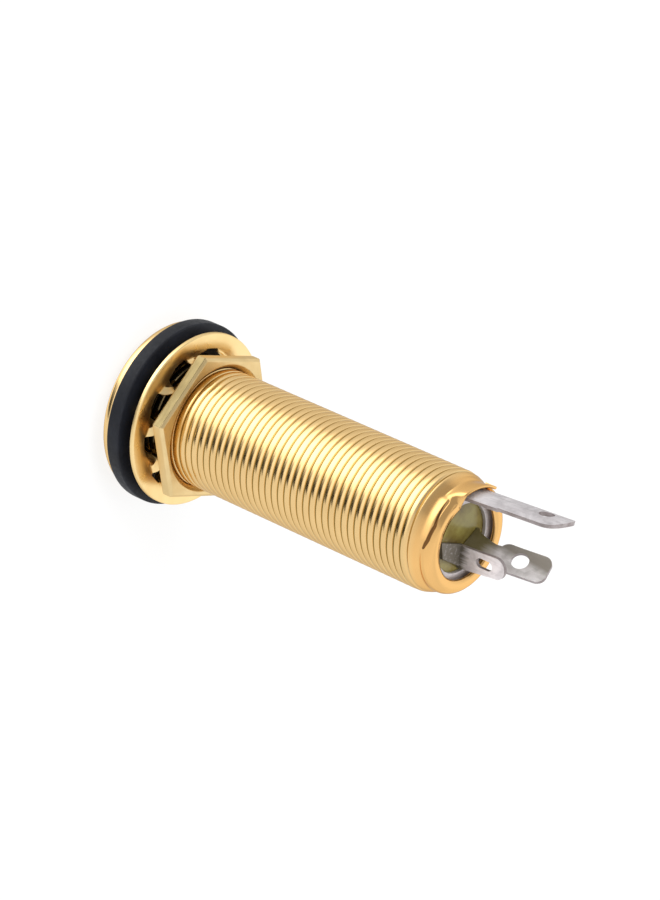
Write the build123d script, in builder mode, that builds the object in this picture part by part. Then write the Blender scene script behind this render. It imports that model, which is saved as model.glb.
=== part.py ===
from build123d import *
import os
from math import cos, radians, sin

# Endpin output jack for a 6.35 mm three-contact plug. All sizes in millimetres.
# Origin at the middle of the flange's front face, +Z along the barrel to the solder lugs.
# The jack stands on its flange. The sleeve tab faces -Y.

# Barrel, thread and flange
thread_diameter = 11.9
barrel_length = 39.42
rolled_end_length = 3.22
flange_diameter = 17.7
flange_thickness = 2.0
flange_rim_height = 0.5
flange_flat_diameter = 11.6
plug_bore_diameter = 6.4
plug_bore_length = 14.0
plug_countersink = 0.45
contact_bore_diameter = 9.16

# Rolled end of the barrel
neck_diameter = 10.68
lip_diameter = 10.84
lip_crest_diameter = 9.2
lip_mouth_diameter = 7.74
lip_thickness = 0.42
open_lip_rise = 0.43
open_lip_flare = 0.16
open_lip_margin = 3.0
open_lip_overlap = 1.0
open_lip_short = 7.0

# Washers and nut under the flange
panel_washer_diameter = 18.5
panel_washer_thickness = 1.48
lock_washer_diameter = 17.5
lock_washer_inner_diameter = 14.5
lock_washer_thickness = 0.5
tooth_count = 10
tooth_width = 2.6
tooth_twist = 75.0
tooth_root_twist = 24.0
tooth_azimuth = -4.5
tooth_clearance = 0.15
nut_across_flats = 14.0
nut_thickness = 1.55
nut_bevel = 0.25
nut_foot_bevel = 0.38
nut_countersink = 0.45
nut_azimuth = -7.3
thread_clearance = 0.05
seat_clearance = 0.02

# Stack of insulators in the rolled end
insulator_diameter = 10.06
front_insulator_thickness = 1.5
rear_insulator_thickness = 1.0
stack_clearance = 0.03
slot_clearance = 0.03
liner_thickness = 0.22

# Sleeve terminal
terminal_thickness = 0.4
sleeve_ring_inner_diameter = 6.84
sleeve_tab_azimuth = -91.0
sleeve_tab_arc = 48.0
sleeve_tab_length = 11.75
sleeve_tab_lean = 3.6
sleeve_tab_end_radius = 1.9
sleeve_hole_diameter = 1.5
sleeve_hole_inset = 2.67

# Tip and ring lugs
lug_thickness = 0.36
leg_distance = 2.3
leg_width = 1.8
leg_length = 1.25

tip_lug_azimuth = -50.0
tip_lug_distance = -1.17
tip_lug_lean = 10.0
tip_lug_root_width = 2.2
tip_lug_root_offset = -1.2
tip_lug_root_height = 0.36
tip_lug_neck_width = 1.75
tip_lug_neck_offset = -0.97
tip_lug_neck_height = 2.6
tip_lug_head_width = 2.86
tip_lug_head_length = 5.2
tip_lug_head_offset = -1.36
tip_lug_head_middle = 5.95
tip_lug_tilt = 10.4
tip_lug_corner = 0.9
tip_hole_diameter = 1.7
tip_hole_drop = 0.33
tip_hole_shift = 0.11
tip_leg_azimuth = 170.0

ring_lug_azimuth = 9.5
ring_lug_distance = -0.02
ring_lug_length = 5.56
ring_lug_width = 2.12
ring_lug_root_width = 2.36
ring_lug_offset = 1.55
ring_lug_root_offset = 1.97
ring_slot_length = 1.9
ring_slot_width = 0.95
ring_slot_inset = 2.37
ring_slot_offset = 1.65
ring_leg_azimuth = 20.0

# Contact springs
spring_thickness = 0.3
spring_width = 2.0
spring_root_depth = 0.15
spring_gap = 0.03
nose_height = 0.5
nose_half_length = 1.1
nose_end_length = 0.3
tip_contact_depth = 26.8
tip_nose_distance = 2.1
ring_contact_depth = 21.0
ring_nose_distance = 2.5
spring_swing = 0.35

# Places worked out from the sizes above
thread_radius = thread_diameter / 2
thread_length = barrel_length - rolled_end_length
open_lip_length = barrel_length + open_lip_rise
panel_washer_top = flange_thickness + panel_washer_thickness
tooth_reach = (
    tooth_width / 2 * sin(radians(tooth_twist))
    + lock_washer_thickness / 2 * cos(radians(tooth_twist))
)
tooth_height = panel_washer_top + tooth_reach + seat_clearance
lock_rim_bottom = tooth_height - lock_washer_thickness / 2
nut_bottom = tooth_height + tooth_reach + seat_clearance
terminal_bottom = barrel_length - lip_thickness - terminal_thickness - 0.44
stack_bottom = terminal_bottom - rear_insulator_thickness - front_insulator_thickness
insulator_joint = terminal_bottom - rear_insulator_thickness
stack_bore_radius = insulator_diameter / 2 + stack_clearance


def azimuth_plane(azimuth, distance, height=0.0):
    """Plane facing outwards at an azimuth: x runs round the barrel, y runs up."""
    angle = radians(azimuth)
    return Plane(
        origin=(distance * cos(angle), distance * sin(angle), height),
        x_dir=(-sin(angle), cos(angle), 0),
        z_dir=(cos(angle), sin(angle), 0),
    )


def leaning_plane(azimuth, distance, height, lean):
    """Plane like azimuth_plane, leant away from its azimuth about its x line."""
    upright = azimuth_plane(azimuth, distance, height)
    rise = radians(90 - lean)
    return Plane(
        origin=upright.origin,
        x_dir=upright.x_dir,
        z_dir=upright.z_dir * sin(rise) + Vector(0, 0, cos(rise)),
    )


def side_plane(azimuth):
    """Plane through the axis at an azimuth: x runs outwards, y runs up."""
    angle = radians(azimuth)
    return Plane(
        origin=(0, 0, 0),
        x_dir=(cos(angle), sin(angle), 0),
        z_dir=(sin(angle), -cos(angle), 0),
    )


def place(azimuth, outwards, round_about):
    """Plan position from a distance outwards and a distance round the barrel."""
    angle = radians(azimuth)
    return (
        outwards * cos(angle) - round_about * sin(angle),
        outwards * sin(angle) + round_about * cos(angle),
    )


# Barrel: one turned piece with the flange, the thread's cylinder and the rolled end
with BuildPart() as barrel:
    with BuildSketch(Plane.XZ):
        with BuildLine():
            rim_bottom = flange_thickness - flange_rim_height
            flat_edge = (flange_flat_diameter / 2, 0)
            rim_edge = (flange_diameter / 2, rim_bottom)
            Line((plug_bore_diameter / 2 + plug_countersink, 0), flat_edge)
            TangentArc(flat_edge, rim_edge, tangent=(1, 0))
            Polyline(
                rim_edge,
                (flange_diameter / 2, flange_thickness),
                (thread_radius, flange_thickness),
                (thread_radius, thread_length),
            )
            thread_end = (thread_radius, thread_length)
            neck = (neck_diameter / 2, terminal_bottom - 0.25)
            TangentArc(thread_end, neck, tangent=(0, 1))
            lip_side = (lip_diameter / 2, terminal_bottom + 0.25)
            lip_crest = (lip_crest_diameter / 2, barrel_length)
            lip_mouth = (lip_mouth_diameter / 2, barrel_length - lip_thickness / 2)
            Line(neck, lip_side)
            lip_arc = TangentArc(lip_side, lip_crest, tangent=(0, 1))
            TangentArc(lip_crest, lip_mouth, tangent=lip_arc % 1)
            lip_under = terminal_bottom + terminal_thickness + 0.05
            Polyline(
                lip_mouth,
                (lip_mouth[0] + 0.1, lip_under),
                (stack_bore_radius, lip_under),
                (stack_bore_radius, stack_bottom),
                (contact_bore_diameter / 2, stack_bottom),
                (contact_bore_diameter / 2, plug_bore_length),
                (plug_bore_diameter / 2, plug_bore_length),
                (plug_bore_diameter / 2, plug_countersink),
                (plug_bore_diameter / 2 + plug_countersink, 0),
            )
        make_face()
    revolve(axis=Axis.Z)

    # The lip stays open where the sleeve tab comes out
    open_arc = sleeve_tab_arc + 2 * open_lip_margin
    open_bottom = terminal_bottom + terminal_thickness / 2
    start_plane = side_plane(sleeve_tab_azimuth - open_arc / 2)
    with BuildSketch(start_plane) as notch_profile:
        with BuildLine():
            Polyline(
                (0, open_bottom),
                (thread_radius + 1, open_bottom),
                (thread_radius + 1, open_lip_length + 1),
                (0, open_lip_length + 1),
                close=True,
            )
        make_face()
    revolve(axis=Axis.Z, revolution_arc=open_arc, mode=Mode.SUBTRACT)
    open_start = sleeve_tab_azimuth - open_arc / 2 + open_lip_short
    with BuildSketch(side_plane(open_start)) as open_lip_profile:
        with BuildLine():
            Polyline(
                (stack_bore_radius + 0.02, open_bottom - 0.1),
                (lip_diameter / 2 - 0.05, open_bottom - 0.1),
                (lip_diameter / 2 + open_lip_flare, open_lip_length),
                (stack_bore_radius + open_lip_flare, open_lip_length),
                close=True,
            )
        make_face()
    revolve(axis=Axis.Z, revolution_arc=open_arc - open_lip_short + open_lip_overlap)

barrel.part.label = "barrel"

# Panel washer: a flat black washer against the back of the flange
with BuildPart() as panel_washer:
    with BuildSketch(Plane.XY.offset(flange_thickness)):
        Circle(panel_washer_diameter / 2)
        Circle(thread_radius + 4 * thread_clearance, mode=Mode.SUBTRACT)
    extrude(amount=panel_washer_thickness)
    chamfer(panel_washer.edges().filter_by(GeomType.CIRCLE).group_by(SortBy.RADIUS)[-1], 0.1)

panel_washer.part.label = "panel_washer"

# Lock washer: a flat rim with twisted teeth inside it
with BuildPart() as lock_tooth:
    root_distance = lock_washer_inner_diameter / 2 + 0.12
    tip_distance = thread_radius + tooth_clearance
    with BuildSketch(azimuth_plane(0, tip_distance, tooth_height)):
        Rectangle(tooth_width, lock_washer_thickness, rotation=tooth_twist)
    with BuildSketch(azimuth_plane(0, root_distance, tooth_height)):
        Rectangle(tooth_width, lock_washer_thickness, rotation=tooth_root_twist)
    loft(ruled=True)

with BuildPart() as lock_washer:
    with BuildSketch(Plane.XY.offset(lock_rim_bottom)):
        Circle(lock_washer_diameter / 2)
        Circle(lock_washer_inner_diameter / 2, mode=Mode.SUBTRACT)
    extrude(amount=lock_washer_thickness)
    with PolarLocations(0, tooth_count, start_angle=tooth_azimuth):
        add(lock_tooth.part)

lock_washer.part.label = "lock_washer"

# Hex nut: bevelled on both faces, with a countersunk bore
with BuildPart() as hex_nut:
    with BuildSketch(Plane.XY.offset(nut_bottom)):
        RegularPolygon(nut_across_flats / 2, 6, major_radius=False, rotation=nut_azimuth)
    extrude(amount=nut_thickness)
    chamfer(hex_nut.faces().sort_by(Axis.Z)[-1].edges(), nut_bevel)
    chamfer(hex_nut.faces().sort_by(Axis.Z)[0].edges(), nut_foot_bevel)
    with BuildSketch(Plane.XY.offset(nut_bottom)):
        Circle(thread_radius + thread_clearance)
    extrude(amount=nut_thickness, mode=Mode.SUBTRACT)
    bore_rims = hex_nut.edges().filter_by(GeomType.CIRCLE)
    chamfer(bore_rims, nut_countersink)

hex_nut.part.label = "hex_nut"

# Insulating liner between the springs and the barrel's wall
with BuildPart() as liner:
    with BuildSketch(Plane.XY.offset(plug_bore_length)):
        Circle(contact_bore_diameter / 2 - stack_clearance)
        Circle(contact_bore_diameter / 2 - stack_clearance - liner_thickness, mode=Mode.SUBTRACT)
    extrude(amount=stack_bottom - plug_bore_length)

liner.part.label = "insulating_liner"

# Front insulator: its two slots hold the lugs' legs and the springs' roots
leg_azimuths = (tip_leg_azimuth, ring_leg_azimuth)
spring_distance = leg_distance + lug_thickness + spring_gap
with BuildPart() as front_insulator:
    with BuildSketch(Plane.XY.offset(stack_bottom)):
        Circle(insulator_diameter / 2)
    extrude(amount=front_insulator_thickness)
    slot_inner = leg_distance - slot_clearance
    slot_outer = spring_distance + spring_thickness + spring_swing
    for azimuth in leg_azimuths:
        with BuildSketch(Plane.XY.offset(stack_bottom).rotated((0, 0, azimuth))):
            with Locations(((slot_inner + slot_outer) / 2, 0)):
                Rectangle(slot_outer - slot_inner, spring_width + 2 * slot_clearance)
        extrude(amount=front_insulator_thickness, mode=Mode.SUBTRACT)

front_insulator.part.label = "front_insulator"

# Rear insulator: the disc that shows inside the rolled lip
with BuildPart() as rear_insulator:
    with BuildSketch(Plane.XY.offset(insulator_joint)):
        Circle(insulator_diameter / 2)
    extrude(amount=rear_insulator_thickness)
    for azimuth in leg_azimuths:
        with BuildSketch(Plane.XY.offset(insulator_joint).rotated((0, 0, azimuth))):
            with Locations((leg_distance + lug_thickness / 2, 0)):
                Rectangle(lug_thickness + 2 * slot_clearance, leg_width + 2 * slot_clearance)
        extrude(amount=rear_insulator_thickness, mode=Mode.SUBTRACT)

rear_insulator.part.label = "rear_insulator"

# Sleeve terminal: a ring on the rear insulator with a curved tab bent up from its edge
ring_outer_radius = insulator_diameter / 2 - 0.03
tab_outer_radius = ring_outer_radius - 0.04
tab_inner_radius = tab_outer_radius - terminal_thickness
tab_start = terminal_thickness / 4
tab_view = azimuth_plane(sleeve_tab_azimuth, 0, terminal_bottom)
with BuildPart() as sleeve_tab:
    with BuildSketch(Plane.XY.offset(terminal_bottom + tab_start)):
        with BuildLine():
            half_arc = sleeve_tab_arc / 2
            first = sleeve_tab_azimuth - half_arc
            outer = CenterArc((0, 0), tab_outer_radius, first, sleeve_tab_arc)
            inner = CenterArc((0, 0), tab_inner_radius, first, sleeve_tab_arc)
            Line(outer @ 0, inner @ 0)
            Line(outer @ 1, inner @ 1)
        make_face()
    extrude(amount=sleeve_tab_length - tab_start)
    side = tab_outer_radius * sin(radians(half_arc)) + 1
    shoulder = sleeve_tab_length - sleeve_tab_end_radius
    with BuildSketch(tab_view):
        with BuildLine():
            Polyline((-side, shoulder), (-side, -1), (side, -1), (side, shoulder), (side - 1, shoulder))
            ThreePointArc((side - 1, shoulder), (0, sleeve_tab_length), (1 - side, shoulder))
            Line((1 - side, shoulder), (-side, shoulder))
        make_face()
    extrude(amount=tab_outer_radius + 1, mode=Mode.INTERSECT)
    with BuildSketch(tab_view):
        with Locations((0, sleeve_tab_length - sleeve_hole_inset)):
            Circle(sleeve_hole_diameter / 2)
    extrude(amount=tab_outer_radius + 1, mode=Mode.SUBTRACT)

tab_root = azimuth_plane(sleeve_tab_azimuth, tab_inner_radius, terminal_bottom + terminal_thickness)
with BuildPart() as sleeve_terminal:
    with BuildSketch(Plane.XY.offset(terminal_bottom)):
        Circle(ring_outer_radius)
        Circle(sleeve_ring_inner_diameter / 2, mode=Mode.SUBTRACT)
    extrude(amount=terminal_thickness)
    add(sleeve_tab.part.rotate(Axis(tab_root.origin, tab_root.x_dir), sleeve_tab_lean))

sleeve_terminal.part.label = "sleeve_terminal"


def leg_corners(azimuth):
    """Plan corners of a leg where it comes up through the rear insulator."""
    outer = leg_distance + lug_thickness
    half = leg_width / 2
    return (
        place(azimuth, leg_distance, -half),
        place(azimuth, outer, -half),
        place(azimuth, outer, half),
        place(azimuth, leg_distance, half),
    )


# Tip lug: a wide head on a narrow neck, bent up from a foot that ends in the leg
with BuildPart() as tip_lug:
    root_start = lug_thickness / 4
    root_left = tip_lug_root_offset - tip_lug_root_width / 2
    root_right = tip_lug_root_offset + tip_lug_root_width / 2
    neck_left = tip_lug_neck_offset - tip_lug_neck_width / 2
    neck_right = tip_lug_neck_offset + tip_lug_neck_width / 2
    with BuildSketch(leaning_plane(tip_lug_azimuth, tip_lug_distance, terminal_bottom, tip_lug_lean)):
        with BuildLine():
            Polyline(
                (neck_right, tip_lug_neck_height),
                (root_right, tip_lug_root_height),
                (root_right, root_start),
                (root_left, root_start),
                (root_left, tip_lug_root_height),
            )
            Spline(
                (root_left, tip_lug_root_height),
                (neck_left, tip_lug_neck_height),
                tangents=((0.8, 1), (0, 1)),
            )
            Polyline(
                (neck_left, tip_lug_neck_height),
                (neck_left, tip_lug_head_middle),
                (neck_right, tip_lug_head_middle),
                (neck_right, tip_lug_neck_height),
            )
        make_face()
        head_place = (tip_lug_head_offset, tip_lug_head_middle, 0)
        with Locations(Location(head_place, (0, 0, tip_lug_tilt))):
            RectangleRounded(tip_lug_head_width, tip_lug_head_length, tip_lug_corner)
            with Locations((-tip_hole_shift, -tip_hole_drop)):
                Circle(tip_hole_diameter / 2, mode=Mode.SUBTRACT)
    extrude(amount=-lug_thickness)
    with BuildSketch(Plane.XY.offset(terminal_bottom)):
        with BuildLine():
            back = tip_lug_distance - lug_thickness / 2
            Polyline(
                place(tip_lug_azimuth, back, root_left),
                place(tip_lug_azimuth, back, root_right),
                *leg_corners(tip_leg_azimuth)[1:3],
                close=True,
            )
        make_face()
    extrude(amount=lug_thickness)
    with BuildSketch(Plane.XY.offset(terminal_bottom)):
        with BuildLine():
            Polyline(*leg_corners(tip_leg_azimuth), close=True)
        make_face()
    extrude(amount=-(rear_insulator_thickness + leg_length))

tip_lug.part.label = "tip_lug"

# Ring lug: a shorter lug with a slotted hole
with BuildPart() as ring_lug:
    ring_left = ring_lug_root_offset - ring_lug_root_width / 2
    ring_right = ring_lug_root_offset + ring_lug_root_width / 2
    end_left = ring_lug_offset - ring_lug_width / 2
    end_right = ring_lug_offset + ring_lug_width / 2
    shoulder = ring_lug_length - ring_lug_width / 2
    with BuildSketch(azimuth_plane(ring_lug_azimuth, ring_lug_distance, terminal_bottom)):
        with BuildLine():
            Polyline((end_left, shoulder), (ring_left, 0), (ring_right, 0), (end_right, shoulder))
            ThreePointArc(
                (end_right, shoulder),
                (ring_lug_offset, ring_lug_length),
                (end_left, shoulder),
            )
        make_face()
        with Locations((ring_slot_offset, ring_lug_length - ring_slot_inset)):
            SlotOverall(ring_slot_length, ring_slot_width, rotation=90, mode=Mode.SUBTRACT)
    extrude(amount=-lug_thickness)
    with BuildSketch(Plane.XY.offset(terminal_bottom)):
        with BuildLine():
            back = ring_lug_distance - lug_thickness
            Polyline(
                place(ring_lug_azimuth, back, ring_left),
                *leg_corners(ring_leg_azimuth)[1:3],
                place(ring_lug_azimuth, back, ring_right),
                close=True,
            )
        make_face()
    extrude(amount=lug_thickness)
    with BuildSketch(Plane.XY.offset(terminal_bottom)):
        with BuildLine():
            Polyline(*leg_corners(ring_leg_azimuth), close=True)
        make_face()
    extrude(amount=-(rear_insulator_thickness + leg_length))

ring_lug.part.label = "ring_lug"


def contact_spring(azimuth, contact_depth, nose_distance):
    """Leaf spring from the front insulator to a V-shaped nose in the plug's path."""
    root_top = insulator_joint - spring_root_depth
    leaf_distance = nose_distance + nose_height
    with BuildPart() as spring:
        with BuildSketch(side_plane(azimuth)):
            with BuildLine():
                leaf = Polyline(
                    (spring_distance, root_top),
                    (spring_distance, stack_bottom),
                    (leaf_distance, contact_depth + nose_half_length),
                    (nose_distance, contact_depth),
                    (leaf_distance, contact_depth - nose_half_length),
                    (leaf_distance, contact_depth - nose_half_length - nose_end_length),
                )
                offset(leaf, amount=spring_thickness, side=Side.LEFT)
            make_face()
        extrude(amount=spring_width / 2, both=True)
    return spring.part


tip_spring = contact_spring(tip_leg_azimuth, tip_contact_depth, tip_nose_distance)
tip_spring.label = "tip_spring"
ring_spring = contact_spring(ring_leg_azimuth, ring_contact_depth, ring_nose_distance)
ring_spring.label = "ring_spring"

pieces = {
    "barrel": barrel.part,
    "panel_washer": panel_washer.part,
    "lock_washer": lock_washer.part,
    "hex_nut": hex_nut.part,
    "insulating_liner": liner.part,
    "front_insulator": front_insulator.part,
    "rear_insulator": rear_insulator.part,
    "sleeve_terminal": sleeve_terminal.part,
    "tip_lug": tip_lug.part,
    "ring_lug": ring_lug.part,
    "tip_spring": tip_spring,
    "ring_spring": ring_spring,
}
os.makedirs("parts", exist_ok=True)
for name, piece in pieces.items():
    export_step(piece, "parts/" + name + ".step")
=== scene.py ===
from math import atan2, cos, pi, radians, sin, sqrt

import bmesh
import bpy
import numpy as np
from mathutils import Matrix, Vector


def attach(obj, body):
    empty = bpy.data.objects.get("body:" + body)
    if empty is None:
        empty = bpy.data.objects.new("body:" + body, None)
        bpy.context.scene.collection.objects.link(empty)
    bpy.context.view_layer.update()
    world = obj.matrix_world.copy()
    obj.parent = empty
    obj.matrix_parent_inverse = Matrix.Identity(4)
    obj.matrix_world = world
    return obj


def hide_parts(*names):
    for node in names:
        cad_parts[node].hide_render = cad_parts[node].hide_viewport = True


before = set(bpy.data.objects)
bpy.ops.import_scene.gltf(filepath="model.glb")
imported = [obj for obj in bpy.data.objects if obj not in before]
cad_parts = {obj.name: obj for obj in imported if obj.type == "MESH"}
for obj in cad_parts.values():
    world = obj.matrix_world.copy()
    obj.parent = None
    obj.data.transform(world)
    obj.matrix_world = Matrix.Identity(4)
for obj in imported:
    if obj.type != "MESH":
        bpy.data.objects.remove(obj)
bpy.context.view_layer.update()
MM = 0.001

# Sizes in millimetres and angles in degrees, as in the part's source
THREAD_R = 5.95
PITCH = 0.79375
FLANGE_R = 8.85
FLANGE_T = 2.0
THREAD_END = 36.2
THREAD_RUN = 37.44
SHOULDER_R = 2.701
TERMINAL = 38.16
TAB_AZ = -91.0
TAB_ARC = 48.0

# Degrees added to an azimuth to count it from the side that faces the camera
CAMERA_TURN = 23


# Mesh helpers

def smoothstep(a, b, x):
    t = np.clip((np.asarray(x, float) - a) / (b - a), 0, 1)
    return t * t * (3 - 2 * t)


def new_object(name, verts, faces, material, body, nodes, smooth_angle=40,
               edge_from=None, edge_material=None):
    """Makes a mesh from points in millimetres, cleans it, and puts it on its body.

    Faces from the index edge_from on get edge_material.
    """
    mesh = bpy.data.meshes.new(name)
    mesh.from_pydata([tuple(v) for v in np.asarray(verts, float) * MM], [], faces)
    mesh.materials.append(material)
    if edge_material is not None:
        mesh.materials.append(edge_material)
        for polygon in mesh.polygons[edge_from:]:
            polygon.material_index = 1
    bm = bmesh.new()
    bm.from_mesh(mesh)
    bmesh.ops.remove_doubles(bm, verts=bm.verts, dist=2e-6)
    bmesh.ops.dissolve_degenerate(bm, edges=bm.edges, dist=1e-6)
    bmesh.ops.recalc_face_normals(bm, faces=bm.faces)
    for face in bm.faces:
        face.smooth = True
    for edge in bm.edges:
        if len(edge.link_faces) == 2 and edge.calc_face_angle(0) > radians(smooth_angle):
            edge.smooth = False
    bm.to_mesh(mesh)
    bm.free()
    obj = bpy.data.objects.new(name, mesh)
    bpy.context.scene.collection.objects.link(obj)
    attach(obj, body)
    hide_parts(*nodes)
    return obj


def round_profile(points, segments=4):
    """Rounds the corners of a closed profile. Each point is (r, z, radius)."""
    result = []
    count = len(points)
    for i, (r, z, radius) in enumerate(points):
        here = np.array((r, z), float)
        if radius <= 0:
            result.append(tuple(here))
            continue
        before = np.array(points[i - 1][:2], float)
        after = np.array(points[(i + 1) % count][:2], float)
        to_before = before - here
        to_after = after - here
        len_before = np.linalg.norm(to_before)
        len_after = np.linalg.norm(to_after)
        to_before /= len_before
        to_after /= len_after
        angle = np.arccos(np.clip(to_before @ to_after, -1, 1))
        reach = min(radius / np.tan(angle / 2), len_before * 0.49, len_after * 0.49)
        start = here + to_before * reach
        end = here + to_after * reach
        for k in range(segments + 1):
            t = k / segments
            curve = (1 - t) ** 2 * start + 2 * t * (1 - t) * here + t * t * end
            result.append(tuple(curve))
    return result


def lathe(points, around):
    """Closed profile of (r, z) turned about the axis: returns vertices and faces."""
    count = len(points)
    verts = []
    faces = []
    for i in range(around):
        angle = 2 * pi * i / around
        for r, z in points:
            verts.append((r * cos(angle), r * sin(angle), z))
    for i in range(around):
        j = (i + 1) % around
        for k in range(count):
            m = (k + 1) % count
            faces.append((i * count + k, j * count + k, j * count + m, i * count + m))
    return verts, faces


# Material helpers

def material(name):
    mat = bpy.data.materials.new(name)
    mat.use_nodes = True
    nodes = mat.node_tree.nodes
    return mat, nodes, mat.node_tree.links, nodes["Principled BSDF"]


def noise(nodes, links, vector, scale, detail=4.0, rough=0.55, distortion=0.0):
    node = nodes.new("ShaderNodeTexNoise")
    node.inputs["Scale"].default_value = scale
    node.inputs["Detail"].default_value = detail
    node.inputs["Roughness"].default_value = rough
    node.inputs["Distortion"].default_value = distortion
    links.new(vector, node.inputs["Vector"])
    return node.outputs["Fac"]


def ramp(nodes, links, value, stops):
    node = nodes.new("ShaderNodeValToRGB")
    elements = node.color_ramp.elements
    while len(elements) < len(stops):
        elements.new(0.5)
    for element, (position, color) in zip(elements, stops):
        element.position = position
        element.color = (*color, 1.0)
    links.new(value, node.inputs["Fac"])
    return node.outputs["Color"]


def map_range(nodes, links, value, a, b, c, d):
    node = nodes.new("ShaderNodeMapRange")
    node.inputs["From Min"].default_value = a
    node.inputs["From Max"].default_value = b
    node.inputs["To Min"].default_value = c
    node.inputs["To Max"].default_value = d
    links.new(value, node.inputs["Value"])
    return node.outputs["Result"]


def math_node(nodes, links, operation, a, b=None):
    node = nodes.new("ShaderNodeMath")
    node.operation = operation
    for slot, value in ((0, a), (1, b)):
        if value is None:
            continue
        if isinstance(value, (int, float)):
            node.inputs[slot].default_value = value
        else:
            links.new(value, node.inputs[slot])
    return node.outputs["Value"]


def product(nodes, links, first, *others):
    for other in others:
        first = math_node(nodes, links, "MULTIPLY", first, other)
    return first


def separate(nodes, links, vector):
    node = nodes.new("ShaderNodeSeparateXYZ")
    links.new(vector, node.inputs["Vector"])
    return node.outputs["X"], node.outputs["Y"], node.outputs["Z"]


def grey(value):
    return (value, value, value)


def bump(nodes, links, height, strength, distance):
    node = nodes.new("ShaderNodeBump")
    node.inputs["Strength"].default_value = strength
    node.inputs["Distance"].default_value = distance
    links.new(height, node.inputs["Height"])
    return node.outputs["Normal"]


def scaled(nodes, links, scale):
    """Object coordinates stretched by a scale per axis."""
    coords = nodes.new("ShaderNodeTexCoord")
    mapping = nodes.new("ShaderNodeMapping")
    mapping.inputs["Scale"].default_value = scale
    links.new(coords.outputs["Object"], mapping.inputs["Vector"])
    return mapping.outputs["Vector"]


def gold_material(name, color, dark, grain, roughness, grain_strength=0.06, threaded=False):
    mat, nodes, links, shader = material(name)
    coords = scaled(nodes, links, (1, 1, 1))
    cloud = noise(nodes, links, coords, 260, 5)
    tone = ramp(nodes, links, cloud, [(0.3, dark), (0.62, color)])
    if threaded:
        tone = thread_tone(nodes, links, coords, tone)
    links.new(tone, shader.inputs["Base Color"])
    shader.inputs["Metallic"].default_value = 1.0
    shader.inputs["Specular Tint"].default_value = (0.92, 0.78, 0.6, 1.0)
    fine = noise(nodes, links, scaled(nodes, links, (900, 900, 4200)), 1, 3)
    links.new(map_range(nodes, links, fine, 0.3, 0.7, *roughness), shader.inputs["Roughness"])
    speck = noise(nodes, links, coords, grain, 2)
    links.new(bump(nodes, links, speck, grain_strength, 0.00004), shader.inputs["Normal"])
    return mat


def mix_color(nodes, links, share, a, b):
    node = nodes.new("ShaderNodeMix")
    node.data_type = "RGBA"
    links.new(share, node.inputs["Factor"])
    for name, value in (("A", a), ("B", b)):
        if isinstance(value, tuple):
            node.inputs[name].default_value = (*value, 1.0)
        else:
            links.new(value, node.inputs[name])
    return node.outputs["Result"]


# Where the barrel's painted tones change, in metres, and the angles between which the crease's painted dark
# reflection lies
OUTER_SURFACE = (0.0050, 0.0052)
GROOVE_RADIUS = (0.00578, 0.00590)
GROOVE_TOP = (0.0370, 0.0373)
SHOULDER_ZONE = (0.0362, 0.0374)
SHOULDER_DROP = 0.00028
NECK_ZONE = (0.0366, 0.0376)
CREASE_ANGLES = (-40, 30)
CREASE_HEIGHT = (0.038, 0.039)
CREASE_WIDTH = (-0.00006, 0.0002)
CREASE_EDGE = (-0.00004, 0.00001)
SHADE_BOTTOM = (0.0030, 0.0034)
SHADE_TOP = (0.0060, 0.0065)


def groove_shade_mask(nodes, links, radius, z, outside):
    """Painted shade: full at the bottom of the thread's grooves, and none above the thread."""
    below = map_range(nodes, links, z, *GROOVE_TOP, 1.0, 0.0)
    past = map_range(nodes, links, z, *SHOULDER_ZONE, 0.0, 1.0)
    drop = product(nodes, links, past, past, SHOULDER_DROP)
    level = math_node(nodes, links, "ADD", radius, drop)
    deep = map_range(nodes, links, level, *GROOVE_RADIUS, 1.0, 0.0)
    return product(nodes, links, deep, outside, below, 0.85)


def crease_reflection_mask(nodes, links, coords, z, outside):
    """A painted dark reflection along a line round part of the lip. Its height and its width follow the
    azimuth.
    """
    turned = nodes.new("ShaderNodeVectorRotate")
    turned.rotation_type = "Z_AXIS"
    turned.inputs["Angle"].default_value = radians(CAMERA_TURN)
    links.new(coords, turned.inputs["Vector"])
    x, y, _ = separate(nodes, links, turned.outputs["Vector"])
    azimuth = math_node(nodes, links, "ARCTAN2", y, x)
    first, last = CREASE_ANGLES
    spot = map_range(nodes, links, azimuth, radians(first), radians(last), 0.0, 1.0)
    line = ramp(nodes, links, spot, [
        (0.0, grey(0.38)), (0.14, grey(0.6)), (0.36, grey(0.72)), (0.57, grey(0.88)), (0.79, grey(0.7)),
        (1.0, grey(0.25))])
    line = map_range(nodes, links, line, 0.0, 1.0, *CREASE_HEIGHT)
    reach = ramp(nodes, links, spot, [
        (0.06, grey(0.0)), (0.2, grey(0.35)), (0.6, grey(0.85)), (0.84, grey(1.0)), (0.93, grey(0.8)),
        (0.95, grey(0.0))])
    away = math_node(nodes, links, "ABSOLUTE", math_node(nodes, links, "SUBTRACT", z, line))
    width = map_range(nodes, links, reach, 0.0, 1.0, *CREASE_WIDTH)
    margin = math_node(nodes, links, "SUBTRACT", away, width)
    crease = map_range(nodes, links, margin, *CREASE_EDGE, 0.9, 0.0)
    return product(nodes, links, crease, outside)


def shade_mask(nodes, links, z, outside):
    """The stretch of thread that is near-black, as a stand-in for shade under the washer and nut.

    It stays on the barrel, so it shows as a dark band when the nut goes up.
    """
    below = map_range(nodes, links, z, *SHADE_TOP, 1.0, 0.0)
    above = map_range(nodes, links, z, *SHADE_BOTTOM, 0.0, 1.0)
    return product(nodes, links, below, outside, 0.88, above)


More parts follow.
